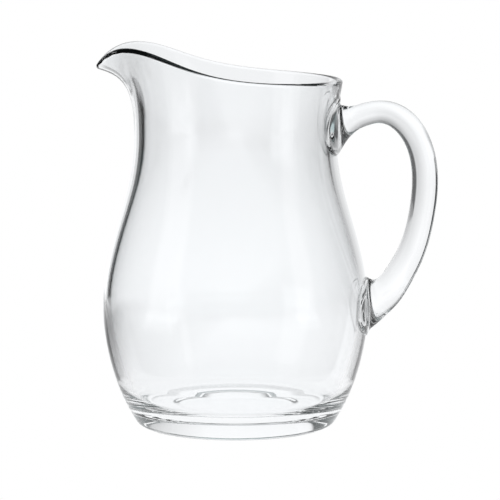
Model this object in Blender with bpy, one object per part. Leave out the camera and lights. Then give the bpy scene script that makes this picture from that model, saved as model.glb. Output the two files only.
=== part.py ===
"""Large water jug in clear glass: a blown body with a pulled spout, and an applied loop handle.

Metres, +Z up. The jug stands on z = 0, the spout points to -X and the handle to +X.
The origin is the middle of the jug's footprint box, so the body's own axis is at x = AXIS_X.
Outlines are written round the body's axis, and the finished objects are moved to AXIS_X.
"""
import math

import bmesh
import bpy
import numpy as np
from mathutils import Vector

# ---------------------------------------------------------------- driving dimensions
SPOUT_REACH = 0.0783            # body axis to the tip of the spout
HANDLE_REACH = 0.1150           # body axis to the back of the handle
AXIS_X = (SPOUT_REACH - HANDLE_REACH) / 2

# Outer wall on the handle side: height, radius.
HEEL_TOP = 0.0030
NECK_LEVEL = 0.1630
RIM_LEVEL = 0.1948              # where the wall ends and the rounded lip begins
OUTER_WALL = [
    (HEEL_TOP, 0.0577),
    (0.0120, 0.0627),
    (0.0260, 0.0685),
    (0.0450, 0.0734),
    (0.0660, 0.0756),
    (0.0880, 0.0736),
    (0.1100, 0.0684),
    (0.1320, 0.0620),
    (0.1480, 0.0586),
    (NECK_LEVEL, 0.0574),
    (0.1800, 0.0582),
    (RIM_LEVEL, 0.0606),
]

# Glass thickness square to the wall: height, thickness.
CORNER_LEVEL = 0.0260           # the inside starts to turn in towards the floor
LIP_THICKNESS = 0.0040
GLASS_WALL = [
    (CORNER_LEVEL, 0.0058),
    (0.0420, 0.0051),
    (0.0580, 0.0044),
    (0.0720, 0.0039),
    (0.0900, 0.0040),
    (0.1100, 0.0043),
    (0.1300, 0.0046),
    (0.1500, 0.0053),
    (0.1780, 0.0052),
    (RIM_LEVEL, LIP_THICKNESS),
]

# Base: a flat resting ring round a shallow recess, under a thick floor.
FOOT_RADIUS = 0.0530
RECESS_RADIUS = 0.0375
RECESS_DEPTH = 0.0010
RECESS_SLOPE = 0.0060           # width of the step from the ring up into the recess
FLOOR_RADIUS = 0.0460           # flat part of the inside floor
FLOOR_HEIGHT = 0.0110
CORNER_PULL = 0.0090            # how far the inside corner follows the wall, and then the floor
HEEL_PULL = 0.0019              # the same for the small outside heel

# Mouth: angles are measured from the spout's middle, in degrees.
MOUTH_STRETCH = 0.0090          # the mouth is pulled out towards the spout
STRETCH_FOCUS = 3               # how closely that keeps to the spout's side
SPOUT_PULL = 0.0077             # the narrow lip beyond that
SPOUT_HALF_ANGLE = 15.5
RIM_RISE = 0.0207               # the rim climbs to the two shoulders of the spout
RISE_ANGLE = 64.0               # where half of that climb is reached
RISE_SHARPNESS = 4.5
SPOUT_DIP = 0.0127              # the pouring lip dips between the shoulders
DIP_ANGLE = 19.5
SIDE_POWER = 2.0                # how fast the stretch grows between neck and rim, at the jug's sides
SPOUT_POWER = 4.0               # the same under the spout
POWER_ANGLE = 22.0
PULL_POWER = 13                 # how fast the narrow lip grows

# Handle sections from the neck to the belly: x, z, half thickness, half width, and the lean in degrees
# that turns a section from square to the bar towards parallel to the wall.
HANDLE_PATH = [
    (0.0607, 0.1710, 0.0116, 0.0082, 28), (0.0640, 0.1730, 0.0089, 0.0074, 27),
    (0.0675, 0.1750, 0.0071, 0.0069, 16), (0.0729, 0.1771, 0.0065, 0.0066, 0),
    (0.0805, 0.1786, 0.0064, 0.0064, 0), (0.0885, 0.1774, 0.0067, 0.0067, 0),
    (0.0960, 0.1725, 0.0071, 0.0071, 0), (0.1025, 0.1635, 0.0072, 0.0072, 0),
    (0.1065, 0.1515, 0.0073, 0.0073, 0), (0.1076, 0.1370, 0.0074, 0.0074, 0),
    (0.1058, 0.1200, 0.0074, 0.0074, 0), (0.1006, 0.1000, 0.0077, 0.0077, 0),
    (0.0930, 0.0850, 0.0083, 0.0083, 0), (0.0863, 0.0760, 0.0094, 0.0092, 0),
    (0.0815, 0.0721, 0.0113, 0.0096, 16), (0.0770, 0.0690, 0.0144, 0.0104, 32),
]
# Centre height, rise to the loop's outer side, half width.
PADS = {
    "upper": (0.1705, 0.0165, 0.0245),
    "lower": (0.0675, -0.0168, 0.0290),
}
# Fillet between pad and bar, in the loop's plane and at the sides: the angle at which it leaves the wall,
# and how far it follows the wall and the bar, as shares of its span.
FILLETS = {
    "upper": ((50, 0.35, 0.35), (32, 0.25, 0.15)),
    "lower": ((50, 0.35, 0.35), (32, 0.25, 0.15)),
}
FIT_GAP = 0.0003                # left between the handle's pads and the wall

# Mesh resolution.
COLUMNS = 60
HANDLE_SIDES = 20
HANDLE_STATIONS = 34
BRIDGE_RINGS = 5
PAD_RINGS = 3
RECESS_RINGS = 3                # flat part of the underside
STEP_RINGS = 4                  # the recess's rounded step
HEEL_RINGS = 3
BELLY_ROWS = 15                 # outer wall up to the neck
NECK_ROWS = 8                   # both walls from the neck to the rim
LIP_ROWS = 6
INSIDE_ROWS = 13                # inner wall up to the neck
CORNER_RINGS = 5
STEP = 1e-4                     # step for slopes taken by differences
SHARP_EDGE = math.radians(50)


# ---------------------------------------------------------------- curves
def spline(points):
    """Smooth curve through (place, value) points: a natural cubic spline."""
    x, y = np.array(points, float).T
    n = len(x)
    gap = np.diff(x)
    slope = np.diff(y) / gap
    matrix = np.eye(n)
    right = np.zeros(n)
    for i in range(1, n - 1):
        matrix[i, i - 1:i + 2] = gap[i - 1], 2 * (gap[i - 1] + gap[i]), gap[i]
        right[i] = 6 * (slope[i] - slope[i - 1])
    bend = np.linalg.solve(matrix, right)

    def value(place):
        i = int(np.clip(np.searchsorted(x, place) - 1, 0, n - 2))
        h, a, b = gap[i], x[i + 1] - place, place - x[i]
        cubic = (bend[i] * a ** 3 + bend[i + 1] * b ** 3) / (6 * h)
        return float(cubic + (y[i] / h - bend[i] * h / 6) * a + (y[i + 1] / h - bend[i + 1] * h / 6) * b)

    return value


def bezier(start, pull_start, pull_end, end, share):
    """Point on a cubic Bezier curve; the ends and the two pulls are vectors."""
    rest = 1 - share
    return (start * rest ** 3 + pull_start * (3 * rest ** 2 * share)
            + pull_end * (3 * rest * share ** 2) + end * share ** 3)


def spread(first, last, count):
    """count values from first to last, both included."""
    return [first + (last - first) * i / (count - 1) for i in range(count)]


outer_radius = spline(OUTER_WALL)
glass_thickness = spline(GLASS_WALL)


# ---------------------------------------------------------------- body wall
def spout_angle(azimuth):
    """Degrees between this azimuth and the middle of the spout, which is at -X."""
    turn = (azimuth - math.pi) % (2 * math.pi)
    return math.degrees(min(turn, 2 * math.pi - turn))


def rim_climb(angle):
    """How much higher the rim is here than on the handle side."""
    climb = RIM_RISE / (1 + (angle / RISE_ANGLE) ** RISE_SHARPNESS)
    return climb - SPOUT_DIP / (1 + (angle / DIP_ANGLE) ** 2) ** 2


def wall_point(azimuth, level):
    """Outer wall; level is the height that this row of the wall has on the handle side."""
    angle = spout_angle(azimuth)
    share = max(0.0, (level - NECK_LEVEL) / (RIM_LEVEL - NECK_LEVEL))
    height = level + share * rim_climb(angle)
    stretch = MOUTH_STRETCH * ((1 + math.cos(math.radians(angle))) / 2) ** STRETCH_FOCUS
    pull = SPOUT_PULL * math.exp(-(angle / SPOUT_HALF_ANGLE) ** 2)
    power = SIDE_POWER + (SPOUT_POWER - SIDE_POWER) * math.exp(-(angle / POWER_ANGLE) ** 2)
    radius = outer_radius(level) + stretch * share ** power + pull * share ** PULL_POWER
    return Vector((radius * math.cos(azimuth), radius * math.sin(azimuth), height))


def wall_frame(azimuth, level):
    """Outward normal of the wall, and the direction up along it."""
    across = wall_point(azimuth + STEP, level) - wall_point(azimuth - STEP, level)
    low = max(level - STEP, HEEL_TOP)
    high = min(level + STEP, RIM_LEVEL)
    up = wall_point(azimuth, high) - wall_point(azimuth, low)
    normal = across.cross(up).normalized()
    return normal, across.normalized().cross(normal) * -1


def inner_point(azimuth, level):
    normal, _ = wall_frame(azimuth, level)
    return wall_point(azimuth, level) - normal * glass_thickness(level)


def column(azimuth):
    """One column of the body's surface, from the middle of the underside to the middle of the floor."""
    out = Vector((math.cos(azimuth), math.sin(azimuth), 0))
    up = Vector((0, 0, 1))
    points = []

    # Underside: recess, rounded step and flat resting ring.
    recess_edge = RECESS_RADIUS - RECESS_SLOPE
    for share in spread(0, 1, RECESS_RINGS + 1)[1:]:
        points.append(out * recess_edge * share + up * RECESS_DEPTH)
    for share in spread(0, 1, STEP_RINGS + 1)[1:]:
        ease = (1 + math.cos(math.pi * share)) / 2
        points.append(out * (recess_edge + RECESS_SLOPE * share) + up * RECESS_DEPTH * ease)

    # Heel, from the resting ring round to the wall.
    heel = wall_point(azimuth, HEEL_TOP)
    _, along = wall_frame(azimuth, HEEL_TOP)
    foot = out * FOOT_RADIUS
    for share in spread(0, 1, HEEL_RINGS + 1)[:-1]:
        points.append(bezier(foot, foot + out * HEEL_PULL, heel - along * HEEL_PULL, heel, share))

    # Outer wall, lip and inner wall.
    low = spread(HEEL_TOP, NECK_LEVEL, BELLY_ROWS)
    high = spread(NECK_LEVEL, RIM_LEVEL, NECK_ROWS)
    points += [wall_point(azimuth, level) for level in low + high[1:]]
    normal, along = wall_frame(azimuth, RIM_LEVEL)
    half = LIP_THICKNESS / 2
    lip = wall_point(azimuth, RIM_LEVEL) - normal * half
    for turn in spread(0, math.pi, LIP_ROWS)[1:-1]:
        points.append(lip + (normal * math.cos(turn) + along * math.sin(turn)) * half)
    low = spread(CORNER_LEVEL, NECK_LEVEL, INSIDE_ROWS)
    points += [inner_point(azimuth, level) for level in reversed(low + high[1:])]

    # Inside corner, then the floor.
    corner = inner_point(azimuth, CORNER_LEVEL)
    _, along = wall_frame(azimuth, CORNER_LEVEL)
    floor = out * FLOOR_RADIUS + up * FLOOR_HEIGHT
    for share in spread(0, 1, CORNER_RINGS + 1)[1:]:
        points.append(bezier(corner, corner - along * CORNER_PULL, floor + out * CORNER_PULL, floor, share))
    points.append(out * (FLOOR_RADIUS / 2) + up * FLOOR_HEIGHT)
    return points


# ---------------------------------------------------------------- handle
def path_curves():
    """Length of the handle's centre line, and x, z, half thickness, half width and lean along it."""
    columns = np.array(HANDLE_PATH).T
    run = np.concatenate([[0], np.cumsum(np.hypot(np.diff(columns[0]), np.diff(columns[1])))])
    return run[-1], [spline(list(zip(run, values))) for values in columns]


def handle_ring(place, length, curves):
    """Oval section at a place along the centre line."""
    x, z, half_thick, half_wide, lean = curves
    centre = Vector((x(place), 0, z(place)))
    before, after = max(place - STEP, 0), min(place + STEP, length)
    along = Vector((x(after) - x(before), 0, z(after) - z(before))).normalized()
    tip = math.radians(lean(place))
    outward = Vector((-along.z, 0, along.x)) * math.cos(tip) + along * math.sin(tip)
    ring = []
    for side in range(HANDLE_SIDES):
        turn = 2 * math.pi * side / HANDLE_SIDES
        across = Vector((0, math.sin(turn) * half_wide(place), 0))
        ring.append(centre + outward * math.cos(turn) * half_thick(place) + across)
    return ring


def pad_point(name, turn, share):
    """Point of a pad's contact face, and the wall's normal there; share 1 is the pad's edge."""
    height, rise, half_width = PADS[name]
    level = height + share * rise * math.cos(turn)
    azimuth = share * half_width * math.sin(turn) / outer_radius(height)
    normal, _ = wall_frame(azimuth, level)
    return wall_point(azimuth, level) + normal * FIT_GAP, normal


def root_rings(name, ring, next_ring):
    """Rings from the middle of a pad's contact face out to its edge and up to the handle's end ring."""
    turns = [2 * math.pi * side / HANDLE_SIDES for side in range(HANDLE_SIDES)]
    rings = []
    for share in spread(0, 1, PAD_RINGS + 1)[1:]:
        rings.append([pad_point(name, turn, share)[0] for turn in turns])
    middle, _ = pad_point(name, 0, 0)
    for step in range(1, BRIDGE_RINGS + 1):
        bridge = []
        for turn, end, beyond in zip(turns, ring, next_ring):
            edge, normal = pad_point(name, turn, 1)
            inward = middle - edge
            inward = (inward - normal * inward.dot(normal)).normalized()
            lift, along_wall, along_bar = [in_plane * math.cos(turn) ** 2 + at_side * math.sin(turn) ** 2
                                           for in_plane, at_side in zip(*FILLETS[name])]
            leave = normal * math.sin(math.radians(lift)) + inward * math.cos(math.radians(lift))
            reach = (end - edge).length
            first_pull = edge + leave * reach * along_wall
            last_pull = end - (beyond - end).normalized() * reach * along_bar
            bridge.append(bezier(edge, first_pull, last_pull, end, step / (BRIDGE_RINGS + 1)))
        rings.append(bridge)
    return middle, rings


# ---------------------------------------------------------------- meshes
def skin(name, first, rings, last, material):
    """Closed mesh of rings joined one to the next, with a point closing each end."""
    mesh = bmesh.new()
    rows = [[mesh.verts.new(point) for point in ring] for ring in rings]
    ends = mesh.verts.new(first), mesh.verts.new(last)
    count = len(rings[0])
    for i in range(count):
        j = (i + 1) % count
        mesh.faces.new((ends[0], rows[0][i], rows[0][j]))
        mesh.faces.new((ends[1], rows[-1][j], rows[-1][i]))
        for low, high in zip(rows, rows[1:]):
            mesh.faces.new((low[i], high[i], high[j], low[j]))
    bmesh.ops.recalc_face_normals(mesh, faces=mesh.faces)
    data = bpy.data.meshes.new(name)
    mesh.to_mesh(data)
    mesh.free()
    data.shade_smooth()
    data.set_sharp_from_angle(angle=SHARP_EDGE)
    data.materials.append(material)
    thing = bpy.data.objects.new(name, data)
    thing.location = (AXIS_X, 0, 0)
    bpy.context.scene.collection.objects.link(thing)
    return thing


def clear_glass(name, colour, roughness):
    material = bpy.data.materials.new(name)
    material.use_nodes = True
    shader = material.node_tree.nodes["Principled BSDF"]
    shader.inputs["Base Color"].default_value = (*colour, 1)
    shader.inputs["Metallic"].default_value = 0
    shader.inputs["Roughness"].default_value = roughness
    shader.inputs["IOR"].default_value = 1.52
    shader.inputs["Transmission Weight"].default_value = 1
    material.diffuse_color = (*colour, 0.35)
    return material


def make_body():
    columns = [column(2 * math.pi * i / COLUMNS) for i in range(COLUMNS)]
    rings = list(zip(*columns))
    underside = Vector((0, 0, RECESS_DEPTH))
    floor = Vector((0, 0, FLOOR_HEIGHT))
    return skin("jug_body", underside, rings, floor, clear_glass("body_glass", (0.95, 0.98, 0.97), 0.02))


def make_handle():
    length, curves = path_curves()
    rings = [handle_ring(place, length, curves) for place in spread(0, length, HANDLE_STATIONS)]
    upper, upper_rings = root_rings("upper", rings[0], rings[1])
    lower, lower_rings = root_rings("lower", rings[-1], rings[-2])
    rings = upper_rings + rings + lower_rings[::-1]
    return skin("handle", upper, rings, lower, clear_glass("handle_glass", (0.94, 0.98, 0.97), 0.03))


def main():
    for thing in list(bpy.data.objects):
        bpy.data.objects.remove(thing, do_unlink=True)
    make_body()
    make_handle()


main()
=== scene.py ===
"""Looks of the large water jug: fine glass surfaces, glass materials and a white studio.

Two pieces stand for the two CAD nodes: jug_shell for jug_body and loop_handle for handle. They use the
CAD part's own outlines, in metres, with a finer mesh. Outlines are written round the body's axis.
"""
import math

import bpy
import numpy as np
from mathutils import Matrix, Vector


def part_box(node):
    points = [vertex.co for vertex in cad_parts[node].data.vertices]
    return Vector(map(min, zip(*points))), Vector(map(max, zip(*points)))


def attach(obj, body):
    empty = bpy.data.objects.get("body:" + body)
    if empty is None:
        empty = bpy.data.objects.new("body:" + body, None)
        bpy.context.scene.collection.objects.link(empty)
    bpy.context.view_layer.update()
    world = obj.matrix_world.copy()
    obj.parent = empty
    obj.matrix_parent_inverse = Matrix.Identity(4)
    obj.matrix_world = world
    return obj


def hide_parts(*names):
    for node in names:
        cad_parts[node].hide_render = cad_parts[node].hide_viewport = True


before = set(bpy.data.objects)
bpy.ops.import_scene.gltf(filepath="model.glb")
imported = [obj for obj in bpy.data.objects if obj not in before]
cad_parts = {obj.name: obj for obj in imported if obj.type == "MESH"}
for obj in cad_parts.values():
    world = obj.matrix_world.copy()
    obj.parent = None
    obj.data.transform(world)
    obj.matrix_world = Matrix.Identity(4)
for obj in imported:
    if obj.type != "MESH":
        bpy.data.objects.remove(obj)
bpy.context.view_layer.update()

# ---------------------------------------------------------------- driving dimensions
RESTING_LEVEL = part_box("jug_body")[0].z
SPOUT_REACH = 0.0783
HANDLE_REACH = 0.1150
AXIS_X = (SPOUT_REACH - HANDLE_REACH) / 2

HEEL_TOP = 0.0030
NECK_LEVEL = 0.1630
RIM_LEVEL = 0.1948
OUTER_WALL = [
    (HEEL_TOP, 0.0577), (0.0120, 0.0627), (0.0260, 0.0685), (0.0450, 0.0734), (0.0660, 0.0756),
    (0.0880, 0.0736), (0.1100, 0.0684), (0.1320, 0.0620), (0.1480, 0.0586), (NECK_LEVEL, 0.0574),
    (0.1800, 0.0582), (RIM_LEVEL, 0.0606),
]
CORNER_LEVEL = 0.0260
LIP_THICKNESS = 0.0040
GLASS_WALL = [
    (CORNER_LEVEL, 0.0058), (0.0420, 0.0051), (0.0580, 0.0044), (0.0720, 0.0039), (0.0900, 0.0040),
    (0.1100, 0.0043), (0.1300, 0.0046), (0.1500, 0.0053), (0.1780, 0.0052), (RIM_LEVEL, LIP_THICKNESS),
]
FOOT_RADIUS = 0.0530
RECESS_RADIUS = 0.0375
RECESS_DEPTH = 0.0010
RECESS_SLOPE = 0.0060
FLOOR_RADIUS = 0.0460
FLOOR_HEIGHT = 0.0110
CORNER_PULL = 0.0090
HEEL_PULL = 0.0019

MOUTH_STRETCH = 0.0090
STRETCH_FOCUS = 3
SPOUT_PULL = 0.0077
SPOUT_HALF_ANGLE = 15.5
RIM_RISE = 0.0207
RISE_ANGLE = 64.0
RISE_SHARPNESS = 4.5
SPOUT_DIP = 0.0127
DIP_ANGLE = 19.5
# How fast the stretch grows between neck and rim, at the sides and under the spout, and the pull.
SIDE_POWER = 2.0
SPOUT_POWER = 4.0
POWER_ANGLE = 22.0
PULL_POWER = 13

# Handle sections from the neck to the belly: x, z, half thickness, half width, and the lean in degrees
# that turns a section from square to the bar towards parallel to the wall.
HANDLE_PATH = [
    (0.0607, 0.1710, 0.0116, 0.0082, 28), (0.0640, 0.1730, 0.0089, 0.0074, 27),
    (0.0675, 0.1750, 0.0071, 0.0069, 16), (0.0729, 0.1771, 0.0065, 0.0066, 0),
    (0.0805, 0.1786, 0.0064, 0.0064, 0), (0.0885, 0.1774, 0.0067, 0.0067, 0),
    (0.0960, 0.1725, 0.0071, 0.0071, 0), (0.1025, 0.1635, 0.0072, 0.0072, 0),
    (0.1065, 0.1515, 0.0073, 0.0073, 0), (0.1076, 0.1370, 0.0074, 0.0074, 0),
    (0.1058, 0.1200, 0.0074, 0.0074, 0), (0.1006, 0.1000, 0.0077, 0.0077, 0),
    (0.0930, 0.0850, 0.0083, 0.0083, 0), (0.0863, 0.0760, 0.0094, 0.0092, 0),
    (0.0815, 0.0721, 0.0113, 0.0096, 16), (0.0770, 0.0690, 0.0144, 0.0104, 32),
]
# Centre height, rise to the loop's outer side, half width.
PADS = {
    "upper": (0.1705, 0.0165, 0.0245),
    "lower": (0.0675, -0.0168, 0.0290),
}
# Fillet between pad and bar, in the loop's plane and at the sides: the angle at which it leaves the wall,
# and how far it follows the wall and the bar, as shares of its span.
FILLETS = {
    "upper": ((50, 0.35, 0.35), (32, 0.25, 0.15)),
    "lower": ((50, 0.35, 0.35), (32, 0.25, 0.15)),
}
SINK = 0.00015                  # the handle's contact faces lie this deep in the wall they are fused to

# Mesh resolution.
COLUMNS = 240
RECESS_RINGS = 9
STEP_RINGS = 8
FOOT_RINGS = 4
HEEL_RINGS = 10
OUTER_ROWS = 120
INNER_ROWS = 84
NECK_ROWS = 40
LIP_RINGS = 16
CORNER_RINGS = 32
FLOOR_RINGS = 12
FIRST_RECESS_RING = 0.12        # radius of the ring next to the middle, as a share of the recess
LAST_FLOOR_RING = 0.08          # the same for the floor
HANDLE_SIDES = 64
HANDLE_STATIONS = 180
BRIDGE_RINGS = 30
PAD_RINGS = 12
SNAP_REACH = 0.55               # grid points this near a pad's edge, in grid cells, move onto it
STEP = 1e-4                     # step for directions along the curves

GLASS, SEAM = 0, 1              # material slots of both pieces


# ---------------------------------------------------------------- curves
def spline(points):
    """Smooth curve through (place, value) points: a natural cubic spline for numbers or arrays."""
    x, y = np.array(points, float).T
    n = len(x)
    gap = np.diff(x)
    slope = np.diff(y) / gap
    matrix = np.eye(n)
    right = np.zeros(n)
    for i in range(1, n - 1):
        matrix[i, i - 1:i + 2] = gap[i - 1], 2 * (gap[i - 1] + gap[i]), gap[i]
        right[i] = 6 * (slope[i] - slope[i - 1])
    bend = np.linalg.solve(matrix, right)

    def value(place):
        i = np.clip(np.searchsorted(x, place) - 1, 0, n - 2)
        h, a, b = gap[i], x[i + 1] - place, place - x[i]
        cubic = (bend[i] * a ** 3 + bend[i + 1] * b ** 3) / (6 * h)
        return cubic + (y[i] / h - bend[i] * h / 6) * a + (y[i + 1] / h - bend[i + 1] * h / 6) * b

    return value


def bezier(start, pull_start, pull_end, end, share):
    """Point of a cubic Bezier curve."""
    rest = 1 - share
    return (start * rest ** 3 + pull_start * (3 * rest ** 2 * share)
            + pull_end * (3 * rest * share ** 2) + end * share ** 3)


def unit(vectors):
    return vectors / np.linalg.norm(vectors, axis=-1, keepdims=True)


outer_radius = spline(OUTER_WALL)
glass_thickness = spline(GLASS_WALL)


# ---------------------------------------------------------------- body wall
def spout_angle(azimuth):
    """Degrees between an azimuth and the spout, on either side."""
    turn = np.mod(np.asarray(azimuth) - math.pi, 2 * math.pi)
    return np.degrees(np.minimum(turn, 2 * math.pi - turn))


def rim_climb(angle):
    """How far the rim lies above its handle side: up to the spout's shoulders, with a dip at the spout."""
    climb = RIM_RISE / (1 + (angle / RISE_ANGLE) ** RISE_SHARPNESS)
    return climb - SPOUT_DIP / (1 + (angle / DIP_ANGLE) ** 2) ** 2


def wall_point(azimuth, level):
    """Outer wall; level is the height that a row of the wall has on the handle side."""
    azimuth, level = np.broadcast_arrays(np.asarray(azimuth, float), np.asarray(level, float))
    angle = spout_angle(azimuth)
    share = np.maximum(0, (level - NECK_LEVEL) / (RIM_LEVEL - NECK_LEVEL))
    height = level + share * rim_climb(angle)
    stretch = MOUTH_STRETCH * ((1 + np.cos(np.radians(angle))) / 2) ** STRETCH_FOCUS
    pull = SPOUT_PULL * np.exp(-(angle / SPOUT_HALF_ANGLE) ** 2)
    power = SIDE_POWER + (SPOUT_POWER - SIDE_POWER) * np.exp(-(angle / POWER_ANGLE) ** 2)
    radius = outer_radius(level) + stretch * share ** power + pull * share ** PULL_POWER
    return np.stack([radius * np.cos(azimuth), radius * np.sin(azimuth), height], -1)


def wall_frame(azimuth, level):
    """Outward normal of the wall, and the direction up along it."""
    across = unit(wall_point(azimuth + STEP, level) - wall_point(azimuth - STEP, level))
    low = np.maximum(level - STEP, HEEL_TOP)
    high = np.minimum(level + STEP, RIM_LEVEL)
    normal = unit(np.cross(across, wall_point(azimuth, high) - wall_point(azimuth, low)))
    return normal, np.cross(normal, across)


def inner_point(azimuth, level):
    """Inner wall: the outer wall less the glass thickness."""
    normal, _ = wall_frame(azimuth, level)
    return wall_point(azimuth, level) - normal * glass_thickness(level)[..., None]


def pad_place(name, turn, share):
    """Azimuth and level of a point of a pad; share 1 is the pad's edge."""
    height, rise, half_width = PADS[name]
    azimuth = share * half_width * np.sin(turn) / outer_radius(height)
    return azimuth, height + share * rise * np.cos(turn)


def snap_to_pads(azimuth, level):
    """Moves the wall's grid points that lie near a pad's edge onto it.

    Also returns each point's side of the edge: 1 outside, 0 on it, -1 inside.
    """
    inside = np.ones(azimuth.shape)
    column_gap = 2 * math.pi / COLUMNS
    row_gap = np.abs(np.gradient(level[:, 0]))[:, None]
    for height, rise, half_width in PADS.values():
        around = np.mod(azimuth + math.pi, 2 * math.pi) - math.pi
        reach = half_width / outer_radius(height)
        u, v = around / reach, (level - height) / rise
        rho = np.maximum(np.hypot(u, v), 1e-9)
        cell = np.hypot(column_gap / reach * u / rho, row_gap / rise * v / rho)
        near = np.abs(rho - 1) < SNAP_REACH * cell
        azimuth = np.where(near, u / rho * reach, azimuth)
        level = np.where(near, height + v / rho * rise, level)
        inside = np.where(near, 0, np.where(rho < 1, -1, inside))
    return azimuth, level, inside


def body_rows():
    """Rows of the body's surface from the underside to the floor, and each point's side of a pad's edge."""
    azimuth = 2 * math.pi * np.arange(COLUMNS) / COLUMNS
    out = np.stack([np.cos(azimuth), np.sin(azimuth), 0 * azimuth], -1)
    up = np.array([0, 0, 1.0])
    rows, sides = [], []

    def add(points, side=1):
        rows.append(points)
        sides.append(np.broadcast_to(side, azimuth.shape))

    # Underside: recess, rounded step, flat resting ring.
    recess_edge = RECESS_RADIUS - RECESS_SLOPE
    for share in np.linspace(FIRST_RECESS_RING, 1, RECESS_RINGS):
        add(out * recess_edge * share + up * RECESS_DEPTH)
    for share in np.linspace(0, 1, STEP_RINGS + 1)[1:]:
        ease = (1 + math.cos(math.pi * share)) / 2
        add(out * (recess_edge + RECESS_SLOPE * share) + up * RECESS_DEPTH * ease)
    for share in np.linspace(0, 1, FOOT_RINGS + 2)[1:-1]:
        add(out * (RECESS_RADIUS + (FOOT_RADIUS - RECESS_RADIUS) * share))

    # Heel.
    heel = wall_point(azimuth, HEEL_TOP)
    _, along = wall_frame(azimuth, np.full(COLUMNS, HEEL_TOP))
    foot = out * FOOT_RADIUS
    for share in np.linspace(0, 1, HEEL_RINGS + 1)[:-1]:
        add(bezier(foot, foot + out * HEEL_PULL, heel - along * HEEL_PULL, heel, share))

    # Outer wall, with the pads' edges in its grid.
    neck_levels = np.linspace(NECK_LEVEL, RIM_LEVEL, NECK_ROWS)[1:]
    levels = np.concatenate([np.linspace(HEEL_TOP, NECK_LEVEL, OUTER_ROWS), neck_levels])
    grid_azimuth, grid_level = np.meshgrid(azimuth, levels)
    grid_azimuth, grid_level, inside = snap_to_pads(grid_azimuth, grid_level)
    for row in range(len(levels)):
        add(wall_point(grid_azimuth[row], grid_level[row]), inside[row])

    # Rounded lip.
    normal, along = wall_frame(azimuth, np.full(COLUMNS, RIM_LEVEL))
    half = LIP_THICKNESS / 2
    lip = wall_point(azimuth, RIM_LEVEL) - normal * half
    for turn in np.linspace(0, math.pi, LIP_RINGS + 1)[1:-1]:
        add(lip + (normal * math.cos(turn) + along * math.sin(turn)) * half)

    # Inner wall, corner and floor.
    levels = np.concatenate([np.linspace(CORNER_LEVEL, NECK_LEVEL, INNER_ROWS), neck_levels])
    for level in levels[::-1]:
        add(inner_point(azimuth, np.full(COLUMNS, level)))
    corner = rows[-1]
    _, along = wall_frame(azimuth, np.full(COLUMNS, CORNER_LEVEL))
    floor = out * FLOOR_RADIUS + up * FLOOR_HEIGHT
    for share in np.linspace(0, 1, CORNER_RINGS + 1)[1:]:
        add(bezier(corner, corner - along * CORNER_PULL, floor + out * CORNER_PULL, floor, share))
    for share in np.linspace(1, LAST_FLOOR_RING, FLOOR_RINGS + 1)[1:]:
        add(out * FLOOR_RADIUS * share + up * FLOOR_HEIGHT)
    return rows, sides


def quad_faces(a, b, c, d, sides):
    """One quad, or two triangles where a pad's edge runs across it, each with its material slot."""
    corners = (a, b, c, d)
    marks = [sides[k] for k in corners]
    if min(marks) >= 0 or max(marks) <= 0:
        return [(corners, SEAM if min(marks) < 0 else GLASS)]
    first = 0 if marks[0] == 0 and marks[2] == 0 else 1
    turned = corners[first:] + corners[:first]
    halves = turned[:3], (turned[2], turned[3], turned[0])
    return [(half, SEAM if min(sides[k] for k in half) < 0 else GLASS) for half in halves]


def make_mesh(name, points, faces, slots, materials):
    """Smooth-shaded mesh object with a material slot for each face."""
    data = bpy.data.meshes.new(name)
    data.from_pydata(points.tolist(), [], faces)
    data.polygons.foreach_set("material_index", slots)
    data.shade_smooth()
    for material in materials:
        data.materials.append(material)
    data.validate()
    thing = bpy.data.objects.new(name, data)
    bpy.context.scene.collection.objects.link(thing)
    return thing


def ring_skin(name, first, rings, last, side_rings, ring_slots, materials):
    """Closed mesh of rings joined one to the next, with a point closing each end.

    side_rings says for each point on which side of a pad's edge it lies; ring_slots, for each strip of
    faces between two rings, the material slot, or None where side_rings decide it.
    """
    count = len(rings[0])
    points = np.concatenate([np.array(first)[None], *rings, np.array(last)[None]])
    points[:, 0] += AXIS_X
    sides = np.concatenate([[1], *side_rings, [1]])
    faces, slots = [], []
    for i in range(count):
        j = (i + 1) % count
        faces.append((0, 1 + j, 1 + i))
        slots.append(ring_slots[0])
    for strip in range(len(rings) - 1):
        low, high = 1 + strip * count, 1 + (strip + 1) * count
        slot = ring_slots[strip + 1]
        for i in range(count):
            j = (i + 1) % count
            if slot is None:
                for face, chosen in quad_faces(low + i, low + j, high + j, high + i, sides):
                    faces.append(face)
                    slots.append(chosen)
            else:
                faces.append((low + i, low + j, high + j, high + i))
                slots.append(slot)
    end, top = len(points) - 1, 1 + (len(rings) - 1) * count
    for i in range(count):
        faces.append((end, top + i, top + (i + 1) % count))
        slots.append(ring_slots[-1])
    return make_mesh(name, points, faces, slots, materials)


def make_body(materials):
    rows, sides = body_rows()
    strips = [None if min(low.min(), high.min()) < 0 else GLASS for low, high in zip(sides, sides[1:])]
    slots = [GLASS] + strips + [GLASS]
    return ring_skin("jug_shell", (0, 0, RECESS_DEPTH), rows, (0, 0, FLOOR_HEIGHT), sides, slots, materials)


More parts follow.
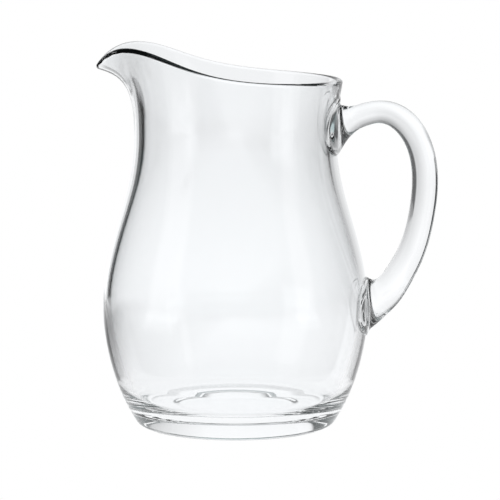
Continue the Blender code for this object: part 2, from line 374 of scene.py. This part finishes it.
# ---------------------------------------------------------------- handle
def handle_rings():
    """Oval sections along the centre line."""
    x, z, half_thick, half_wide, lean = np.array(HANDLE_PATH).T
    run = np.concatenate([[0], np.cumsum(np.hypot(np.diff(x), np.diff(z)))])
    curves = [spline(list(zip(run, values))) for values in (x, z, half_thick, half_wide, np.radians(lean))]
    place = np.linspace(0, run[-1], HANDLE_STATIONS)
    before, after = np.maximum(place - STEP, 0), np.minimum(place + STEP, run[-1])
    along = unit(np.stack([curves[0](after) - curves[0](before), 0 * place,
                           curves[1](after) - curves[1](before)], -1))
    outward = np.stack([-along[:, 2], 0 * place, along[:, 0]], -1)
    tip = curves[4](place)[:, None]
    outward = outward * np.cos(tip) + along * np.sin(tip)
    centre = np.stack([curves[0](place), 0 * place, curves[1](place)], -1)
    turns = -2 * math.pi * np.arange(HANDLE_SIDES) / HANDLE_SIDES
    rings = []
    for i in range(HANDLE_STATIONS):
        rise = np.outer(np.cos(turns), outward[i]) * curves[2](place[i])
        width = np.outer(np.sin(turns), [0, 1, 0]) * curves[3](place[i])
        rings.append(centre[i] + rise + width)
    return rings


def root_rings(name, end_ring, next_ring):
    """Rings from the middle of a pad's contact face out to its edge and up to the handle's end ring."""
    turns = -2 * math.pi * np.arange(HANDLE_SIDES) / HANDLE_SIDES
    rings = []
    for share in np.linspace(0, 1, PAD_RINGS + 1)[1:]:
        azimuth, level = pad_place(name, turns, share)
        normal, _ = wall_frame(azimuth, level)
        rings.append(wall_point(azimuth, level) - normal * SINK)
    azimuth, level = pad_place(name, turns, 1)
    edge = wall_point(azimuth, level)
    normal, _ = wall_frame(azimuth, level)
    middle = wall_point(0.0, PADS[name][0])
    inward = middle - edge
    inward = unit(inward - normal * (inward * normal).sum(-1, keepdims=True))
    in_plane, at_side = np.array(FILLETS[name], float)
    fillet = np.outer(np.cos(turns) ** 2, in_plane) + np.outer(np.sin(turns) ** 2, at_side)
    lift, along_wall, along_bar = fillet.T
    lift = np.radians(lift)[:, None]
    leave = normal * np.sin(lift) + inward * np.cos(lift)
    reach = np.linalg.norm(end_ring - edge, axis=-1, keepdims=True)
    first_pull = edge + leave * reach * along_wall[:, None]
    last_pull = end_ring - unit(next_ring - end_ring) * reach * along_bar[:, None]
    for share in np.linspace(0, 1, BRIDGE_RINGS + 1)[:-1]:
        rings.append(bezier(edge, first_pull, last_pull, end_ring, share))
    return middle - wall_frame(0.0, PADS[name][0])[0] * SINK, rings


def make_handle(materials):
    """Closed skin from one pad over the bar to the other; the contact faces get the seam slot."""
    stations = handle_rings()
    upper, upper_rings = root_rings("upper", stations[0], stations[1])
    lower, lower_rings = root_rings("lower", stations[-1], stations[-2])
    rings = upper_rings + stations + lower_rings[::-1]
    contact = [SEAM] * (PAD_RINGS + 1)
    slots = contact + [GLASS] * (len(rings) + 1 - 2 * len(contact)) + contact
    sides = [np.ones(HANDLE_SIDES)] * len(rings)
    handle = ring_skin("loop_handle", upper, rings, lower, sides, slots, materials)
    edges = {}
    for polygon in handle.data.polygons:
        for key in polygon.edge_keys:
            edges.setdefault(key, set()).add(polygon.material_index)
    for edge in handle.data.edges:
        edge.use_edge_sharp = len(edges[edge.key]) > 1
    return handle


# ---------------------------------------------------------------- materials
GLASS_COLOUR = (0.985, 0.992, 0.996)
GLASS_IOR = 1.52
WAVE_DETAIL = 2
WAVE_DEPTH = 0.00002
BODY_WAVE = 0.030
HANDLE_WAVE = 0.020


def new_material(name):
    material = bpy.data.materials.new(name)
    material.use_nodes = True
    return material, material.node_tree.nodes, material.node_tree.links


def clear_glass(name, wave_size):
    """Clear soda-lime glass, faintly cool, with a surface that is never quite even."""
    material, nodes, links = new_material(name)
    shader = nodes["Principled BSDF"]
    shader.inputs["Base Color"].default_value = (*GLASS_COLOUR, 1)
    shader.inputs["Transmission Weight"].default_value = 1
    shader.inputs["Roughness"].default_value = 0
    shader.inputs["IOR"].default_value = GLASS_IOR
    place = nodes.new("ShaderNodeNewGeometry")
    waves = nodes.new("ShaderNodeTexNoise")
    waves.inputs["Scale"].default_value = 1 / wave_size
    waves.inputs["Detail"].default_value = WAVE_DETAIL
    bump = nodes.new("ShaderNodeBump")
    bump.inputs["Strength"].default_value = 1
    bump.inputs["Distance"].default_value = WAVE_DEPTH
    links.new(place.outputs["Position"], waves.inputs["Vector"])
    links.new(waves.outputs["Fac"], bump.inputs["Height"])
    links.new(bump.outputs["Normal"], shader.inputs["Normal"])
    return material


def fused_seam():
    """Faces inside the fused joints, where glass meets glass: nothing bends the light there."""
    material, nodes, _ = new_material("fused_seam")
    shader = nodes["Principled BSDF"]
    shader.inputs["Base Color"].default_value = (1, 1, 1, 1)
    shader.inputs["Transmission Weight"].default_value = 1
    shader.inputs["Roughness"].default_value = 0
    shader.inputs["IOR"].default_value = 1
    return material


# ---------------------------------------------------------------- studio
RAMP_TOP = 4.0                  # the brightest value that a ramp can hold
STUDIO_TINT = (0.985, 0.99, 1.0)
ROOM_TINT = (0.80, 0.98, 1.0)
ROOM_LIGHT = 0.04
FLOOR_LEVEL = RESTING_LEVEL - 0.0002
FLOOR_REACH = 3.0
PANEL_BEHIND = 0.45
# Brightness of floor and panel over x, of the floor over y from front to back, and of the panel over z.
FLOOR_ACROSS = [
    (-0.33, 0), (-0.30, 0.25), (-0.16, 0.5), (-0.10, 1.0), (0.08, 1.0), (0.20, 0.8), (0.40, 0.5), (0.80, 0.2),
]
FLOOR_ALONG = [(-1.3, 0.15), (-0.80, 0.8), (-0.50, 1.0), (0.10, 1.0), (0.25, 1.06), (0.45, 1.1)]
PANEL_ACROSS = [
    (-0.33, 0), (-0.30, 0.9), (-0.27, 1.0), (0.05, 1.0), (0.10, 0.93), (0.18, 0.83), (0.28, 0.72),
    (0.36, 0.66), (0.42, 0.15), (0.80, 0.12),
]
PANEL_UP = [
    (-0.001, 1.09), (0.04, 1.07), (0.075, 1.03), (0.126, 0.985), (0.20, 0.97), (0.24, 0.9), (0.28, 0.8),
    (0.32, 0.7), (0.40, 0.6), (0.47, 0.42), (0.60, 0.33), (0.80, 0.2),
]
FLOOR_SWEEP = [(0.20, 0), (0.42, 1.0)]      # how far the floor has turned into the panel's brightness, over y
# Brightness over the azimuth from straight behind the jug, in degrees, and over the distance from its axis.
FLOOR_ARMS = [
    (-180, 0.35), (-148, 0.35), (-145, 0), (-124, 0), (-121, 0), (-104, 0.35), (-76, 0.35), (-73, 0),
    (-58, 0), (-55, 0.35), (-38, 0.35), (-35, 0), (35, 0), (38, 0.35), (55, 0.35), (58, 0), (73, 0),
    (76, 0.35), (104, 0.35), (107, 0), (121, 0), (124, 0.35), (145, 0.35), (148, 0), (160, 0), (165, 0.35),
    (180, 0.35),
]
FLOOR_AWAY = [(0, 1.0), (0.65, 1.0), (0.8, 0)]
# The softboxes' light on the floor, in the same way.
FLOOR_GLOW = [
    (-180, 0), (-134, 0), (-130, 1.1), (-102, 1.1), (-98, 0), (105, 0), (109, 1.1), (127, 1.1), (131, 0),
    (180, 0),
]
GLOW_AWAY = [(0, 0), (0.25, 0), (0.40, 1.0), (1.1, 1.0), (1.2, 0)]
# Brightness of the room over azimuth and over elevation, in degrees.
ROOM_AROUND = [
    (-180, 0.2), (-130, 0.2), (-95, 0.1), (-70, 0.04), (-20, 0.04), (20, 0.1), (60, 0.12), (130, 0.2),
    (180, 0.2),
]
ROOM_UP = [(-90, 0), (55, 0), (70, 0.6), (90, 0.6)]
# Softboxes: azimuth from, to; distance; brightness over height.
SOFTBOXES = {
    "studio_box_left": (-131, -102, 1.0, [(0, 0.6), (0.80, 0.6)]),
    "studio_box_right": (109, 127, 1.0, [(0, 0.6), (0.80, 0.6)]),
}


class Graph:
    """Short names for the node arithmetic of the studio's light."""

    def __init__(self, tree):
        self.nodes, self.links = tree.nodes, tree.links

    def join(self, socket, value):
        if isinstance(value, (int, float, tuple)):
            socket.default_value = value
        else:
            self.links.new(value, socket)

    def do(self, operation, *values):
        node = self.nodes.new("ShaderNodeMath")
        node.operation = operation
        for socket, value in zip(node.inputs, values):
            self.join(socket, value)
        return node.outputs["Value"]

    def ramp(self, source, stops):
        """Brightness over source, as straight lines between stops of (place, brightness)."""
        low, high = stops[0][0], stops[-1][0]
        share = self.do("DIVIDE", self.do("SUBTRACT", source, low), high - low)
        curve = self.nodes.new("ShaderNodeValToRGB")
        self.join(curve.inputs["Fac"], share)
        elements = curve.color_ramp.elements
        while len(elements) < len(stops):
            elements.new(0.5)
        for element, (place, value) in zip(elements, stops):
            element.position = (place - low) / (high - low)
            element.color = (value / RAMP_TOP, value / RAMP_TOP, value / RAMP_TOP, 1)
        return self.do("MULTIPLY", curve.outputs["Color"], RAMP_TOP)

    def split(self, vector):
        node = self.nodes.new("ShaderNodeSeparateXYZ")
        self.join(node.inputs["Vector"], vector)
        return node.outputs["X"], node.outputs["Y"], node.outputs["Z"]

    def tinted(self, value, tint):
        node = self.nodes.new("ShaderNodeCombineColor")
        for socket, share in zip(node.inputs, tint):
            self.join(socket, self.do("MULTIPLY", value, share))
        return node.outputs["Color"]


def make_card(name, corners, paint):
    """Glowing card that lights the glass; the camera itself doesn't see it."""
    data = bpy.data.meshes.new(name)
    data.from_pydata(corners, [], [(0, 1, 2, 3)])
    card = bpy.data.objects.new(name, data)
    bpy.context.scene.collection.objects.link(card)
    card.visible_camera = False
    material, nodes, links = new_material(name)
    shader = nodes["Principled BSDF"]
    shader.inputs["Base Color"].default_value = (0, 0, 0, 1)
    shader.inputs["Roughness"].default_value = 1
    shader.inputs["Specular IOR Level"].default_value = 0
    shader.inputs["Emission Strength"].default_value = 1
    graph = Graph(material.node_tree)
    place = nodes.new("ShaderNodeNewGeometry").outputs["Position"]
    links.new(graph.tinted(paint(graph, *graph.split(place)), STUDIO_TINT), shader.inputs["Emission Color"])
    data.materials.append(material)


def paint_floor(graph, x, y, z):
    """A bright strip that turns into the panel at the back, dimmer arms, and the softboxes' glow."""
    near = graph.do("MULTIPLY", graph.ramp(x, FLOOR_ACROSS), graph.ramp(y, FLOOR_ALONG))
    far = graph.do("MULTIPLY", graph.ramp(x, PANEL_ACROSS), PANEL_UP[0][1])
    sweep = graph.ramp(y, FLOOR_SWEEP)
    strip = graph.do("ADD", near, graph.do("MULTIPLY", sweep, graph.do("SUBTRACT", far, near)))
    from_axis = graph.do("SUBTRACT", x, AXIS_X)
    azimuth = graph.do("DEGREES", graph.do("ARCTAN2", from_axis, y))
    squares = graph.do("ADD", graph.do("MULTIPLY", from_axis, from_axis), graph.do("MULTIPLY", y, y))
    away = graph.do("SQRT", squares)
    arms = graph.do("MULTIPLY", graph.ramp(azimuth, FLOOR_ARMS), graph.ramp(away, FLOOR_AWAY))
    glow = graph.do("MULTIPLY", graph.ramp(azimuth, FLOOR_GLOW), graph.ramp(away, GLOW_AWAY))
    return graph.do("MAXIMUM", graph.do("MAXIMUM", strip, graph.do("MAXIMUM", arms, glow)), ROOM_LIGHT)


def paint_panel(graph, x, y, z):
    """Bright in the middle and low down, fading to the right and upwards."""
    panel = graph.do("MULTIPLY", graph.ramp(x, PANEL_ACROSS), graph.ramp(z, PANEL_UP))
    return graph.do("MAXIMUM", panel, ROOM_LIGHT)


def make_studio():
    """Floor, back panel and two upright softboxes."""
    floor_corners = [(side * FLOOR_REACH, along * FLOOR_REACH, FLOOR_LEVEL)
                     for side, along in ((-1, -1), (1, -1), (1, 1), (-1, 1))]
    make_card("studio_floor", floor_corners, paint_floor)
    left, right, top = PANEL_ACROSS[0][0], PANEL_ACROSS[-1][0], PANEL_UP[-1][0]
    make_card("studio_panel", [(left, PANEL_BEHIND, FLOOR_LEVEL), (right, PANEL_BEHIND, FLOOR_LEVEL),
                               (right, PANEL_BEHIND, top), (left, PANEL_BEHIND, top)], paint_panel)
    for name, (first, last, away, profile) in SOFTBOXES.items():
        ends = [(AXIS_X + away * math.sin(math.radians(turn)), away * math.cos(math.radians(turn)))
                for turn in (first, last)]
        make_card(name, [(*ends[0], profile[0][0]), (*ends[1], profile[0][0]),
                         (*ends[1], profile[-1][0]), (*ends[0], profile[-1][0])],
                  lambda graph, x, y, z: graph.ramp(z, profile))


def make_world():
    """White to the eye from everywhere; to reflected and refracted light, a dim room."""
    world = bpy.data.worlds.new("studio_world")
    bpy.context.scene.world = world
    world.use_nodes = True
    graph = Graph(world.node_tree)
    x, y, z = graph.split(graph.nodes.new("ShaderNodeTexCoord").outputs["Generated"])
    azimuth = graph.do("DEGREES", graph.do("ARCTAN2", x, y))
    height = graph.do("DEGREES", graph.do("ARCSINE", z))
    light = graph.do("MAXIMUM", graph.ramp(azimuth, ROOM_AROUND), graph.ramp(height, ROOM_UP))
    seen = graph.nodes.new("ShaderNodeLightPath").outputs["Is Camera Ray"]
    mix = graph.nodes.new("ShaderNodeMix")
    mix.data_type = "RGBA"
    graph.join(mix.inputs["Factor"], seen)
    graph.join(mix.inputs["A"], graph.tinted(light, ROOM_TINT))
    graph.join(mix.inputs["B"], (1, 1, 1, 1))
    graph.join(graph.nodes["Background"].inputs["Color"], mix.outputs["Result"])


# ---------------------------------------------------------------- camera
FOCAL_LENGTH = 200.3            # millimetres
SENSOR_WIDTH = 36               # millimetres
CLIP_RANGE = (0.1, 60)
CAMERA_ASIDE = 0.0082           # from the body's axis towards the handle
CAMERA_AWAY = 1.5715
CAMERA_HEIGHT = 0.3141
LOOK_DOWN = 7.77                # degrees
LIGHT_BOUNCES = 32
GLOSSY_BOUNCES = 16


def make_camera():
    """A long lens at the height of a seated viewer, looking slightly down at the side of the jug."""
    data = bpy.data.cameras.new("studio_camera")
    data.lens = FOCAL_LENGTH
    data.sensor_width = SENSOR_WIDTH
    data.clip_start, data.clip_end = CLIP_RANGE
    camera = bpy.data.objects.new("studio_camera", data)
    camera.location = (AXIS_X + CAMERA_ASIDE, -CAMERA_AWAY, CAMERA_HEIGHT)
    camera.rotation_euler = (math.radians(90 - LOOK_DOWN), 0, 0)
    bpy.context.scene.collection.objects.link(camera)
    bpy.context.scene.camera = camera


def make_look():
    """Plain tones, and enough bounces for light to leave the thick glass."""
    scene = bpy.context.scene
    scene.view_settings.view_transform = "Standard"
    scene.view_settings.look = "None"
    scene.cycles.max_bounces = LIGHT_BOUNCES
    scene.cycles.transmission_bounces = LIGHT_BOUNCES
    scene.cycles.glossy_bounces = GLOSSY_BOUNCES


# ---------------------------------------------------------------- build
seam = fused_seam()
shell = make_body([clear_glass("body_glass", BODY_WAVE), seam])
handle = make_handle([clear_glass("handle_glass", HANDLE_WAVE), seam])
for piece, node, slot in ((shell, "jug_body", "body_glass"), (handle, "handle", "handle_glass")):
    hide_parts(node)
    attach(piece, "root")

make_studio()
make_world()
make_camera()
make_look()
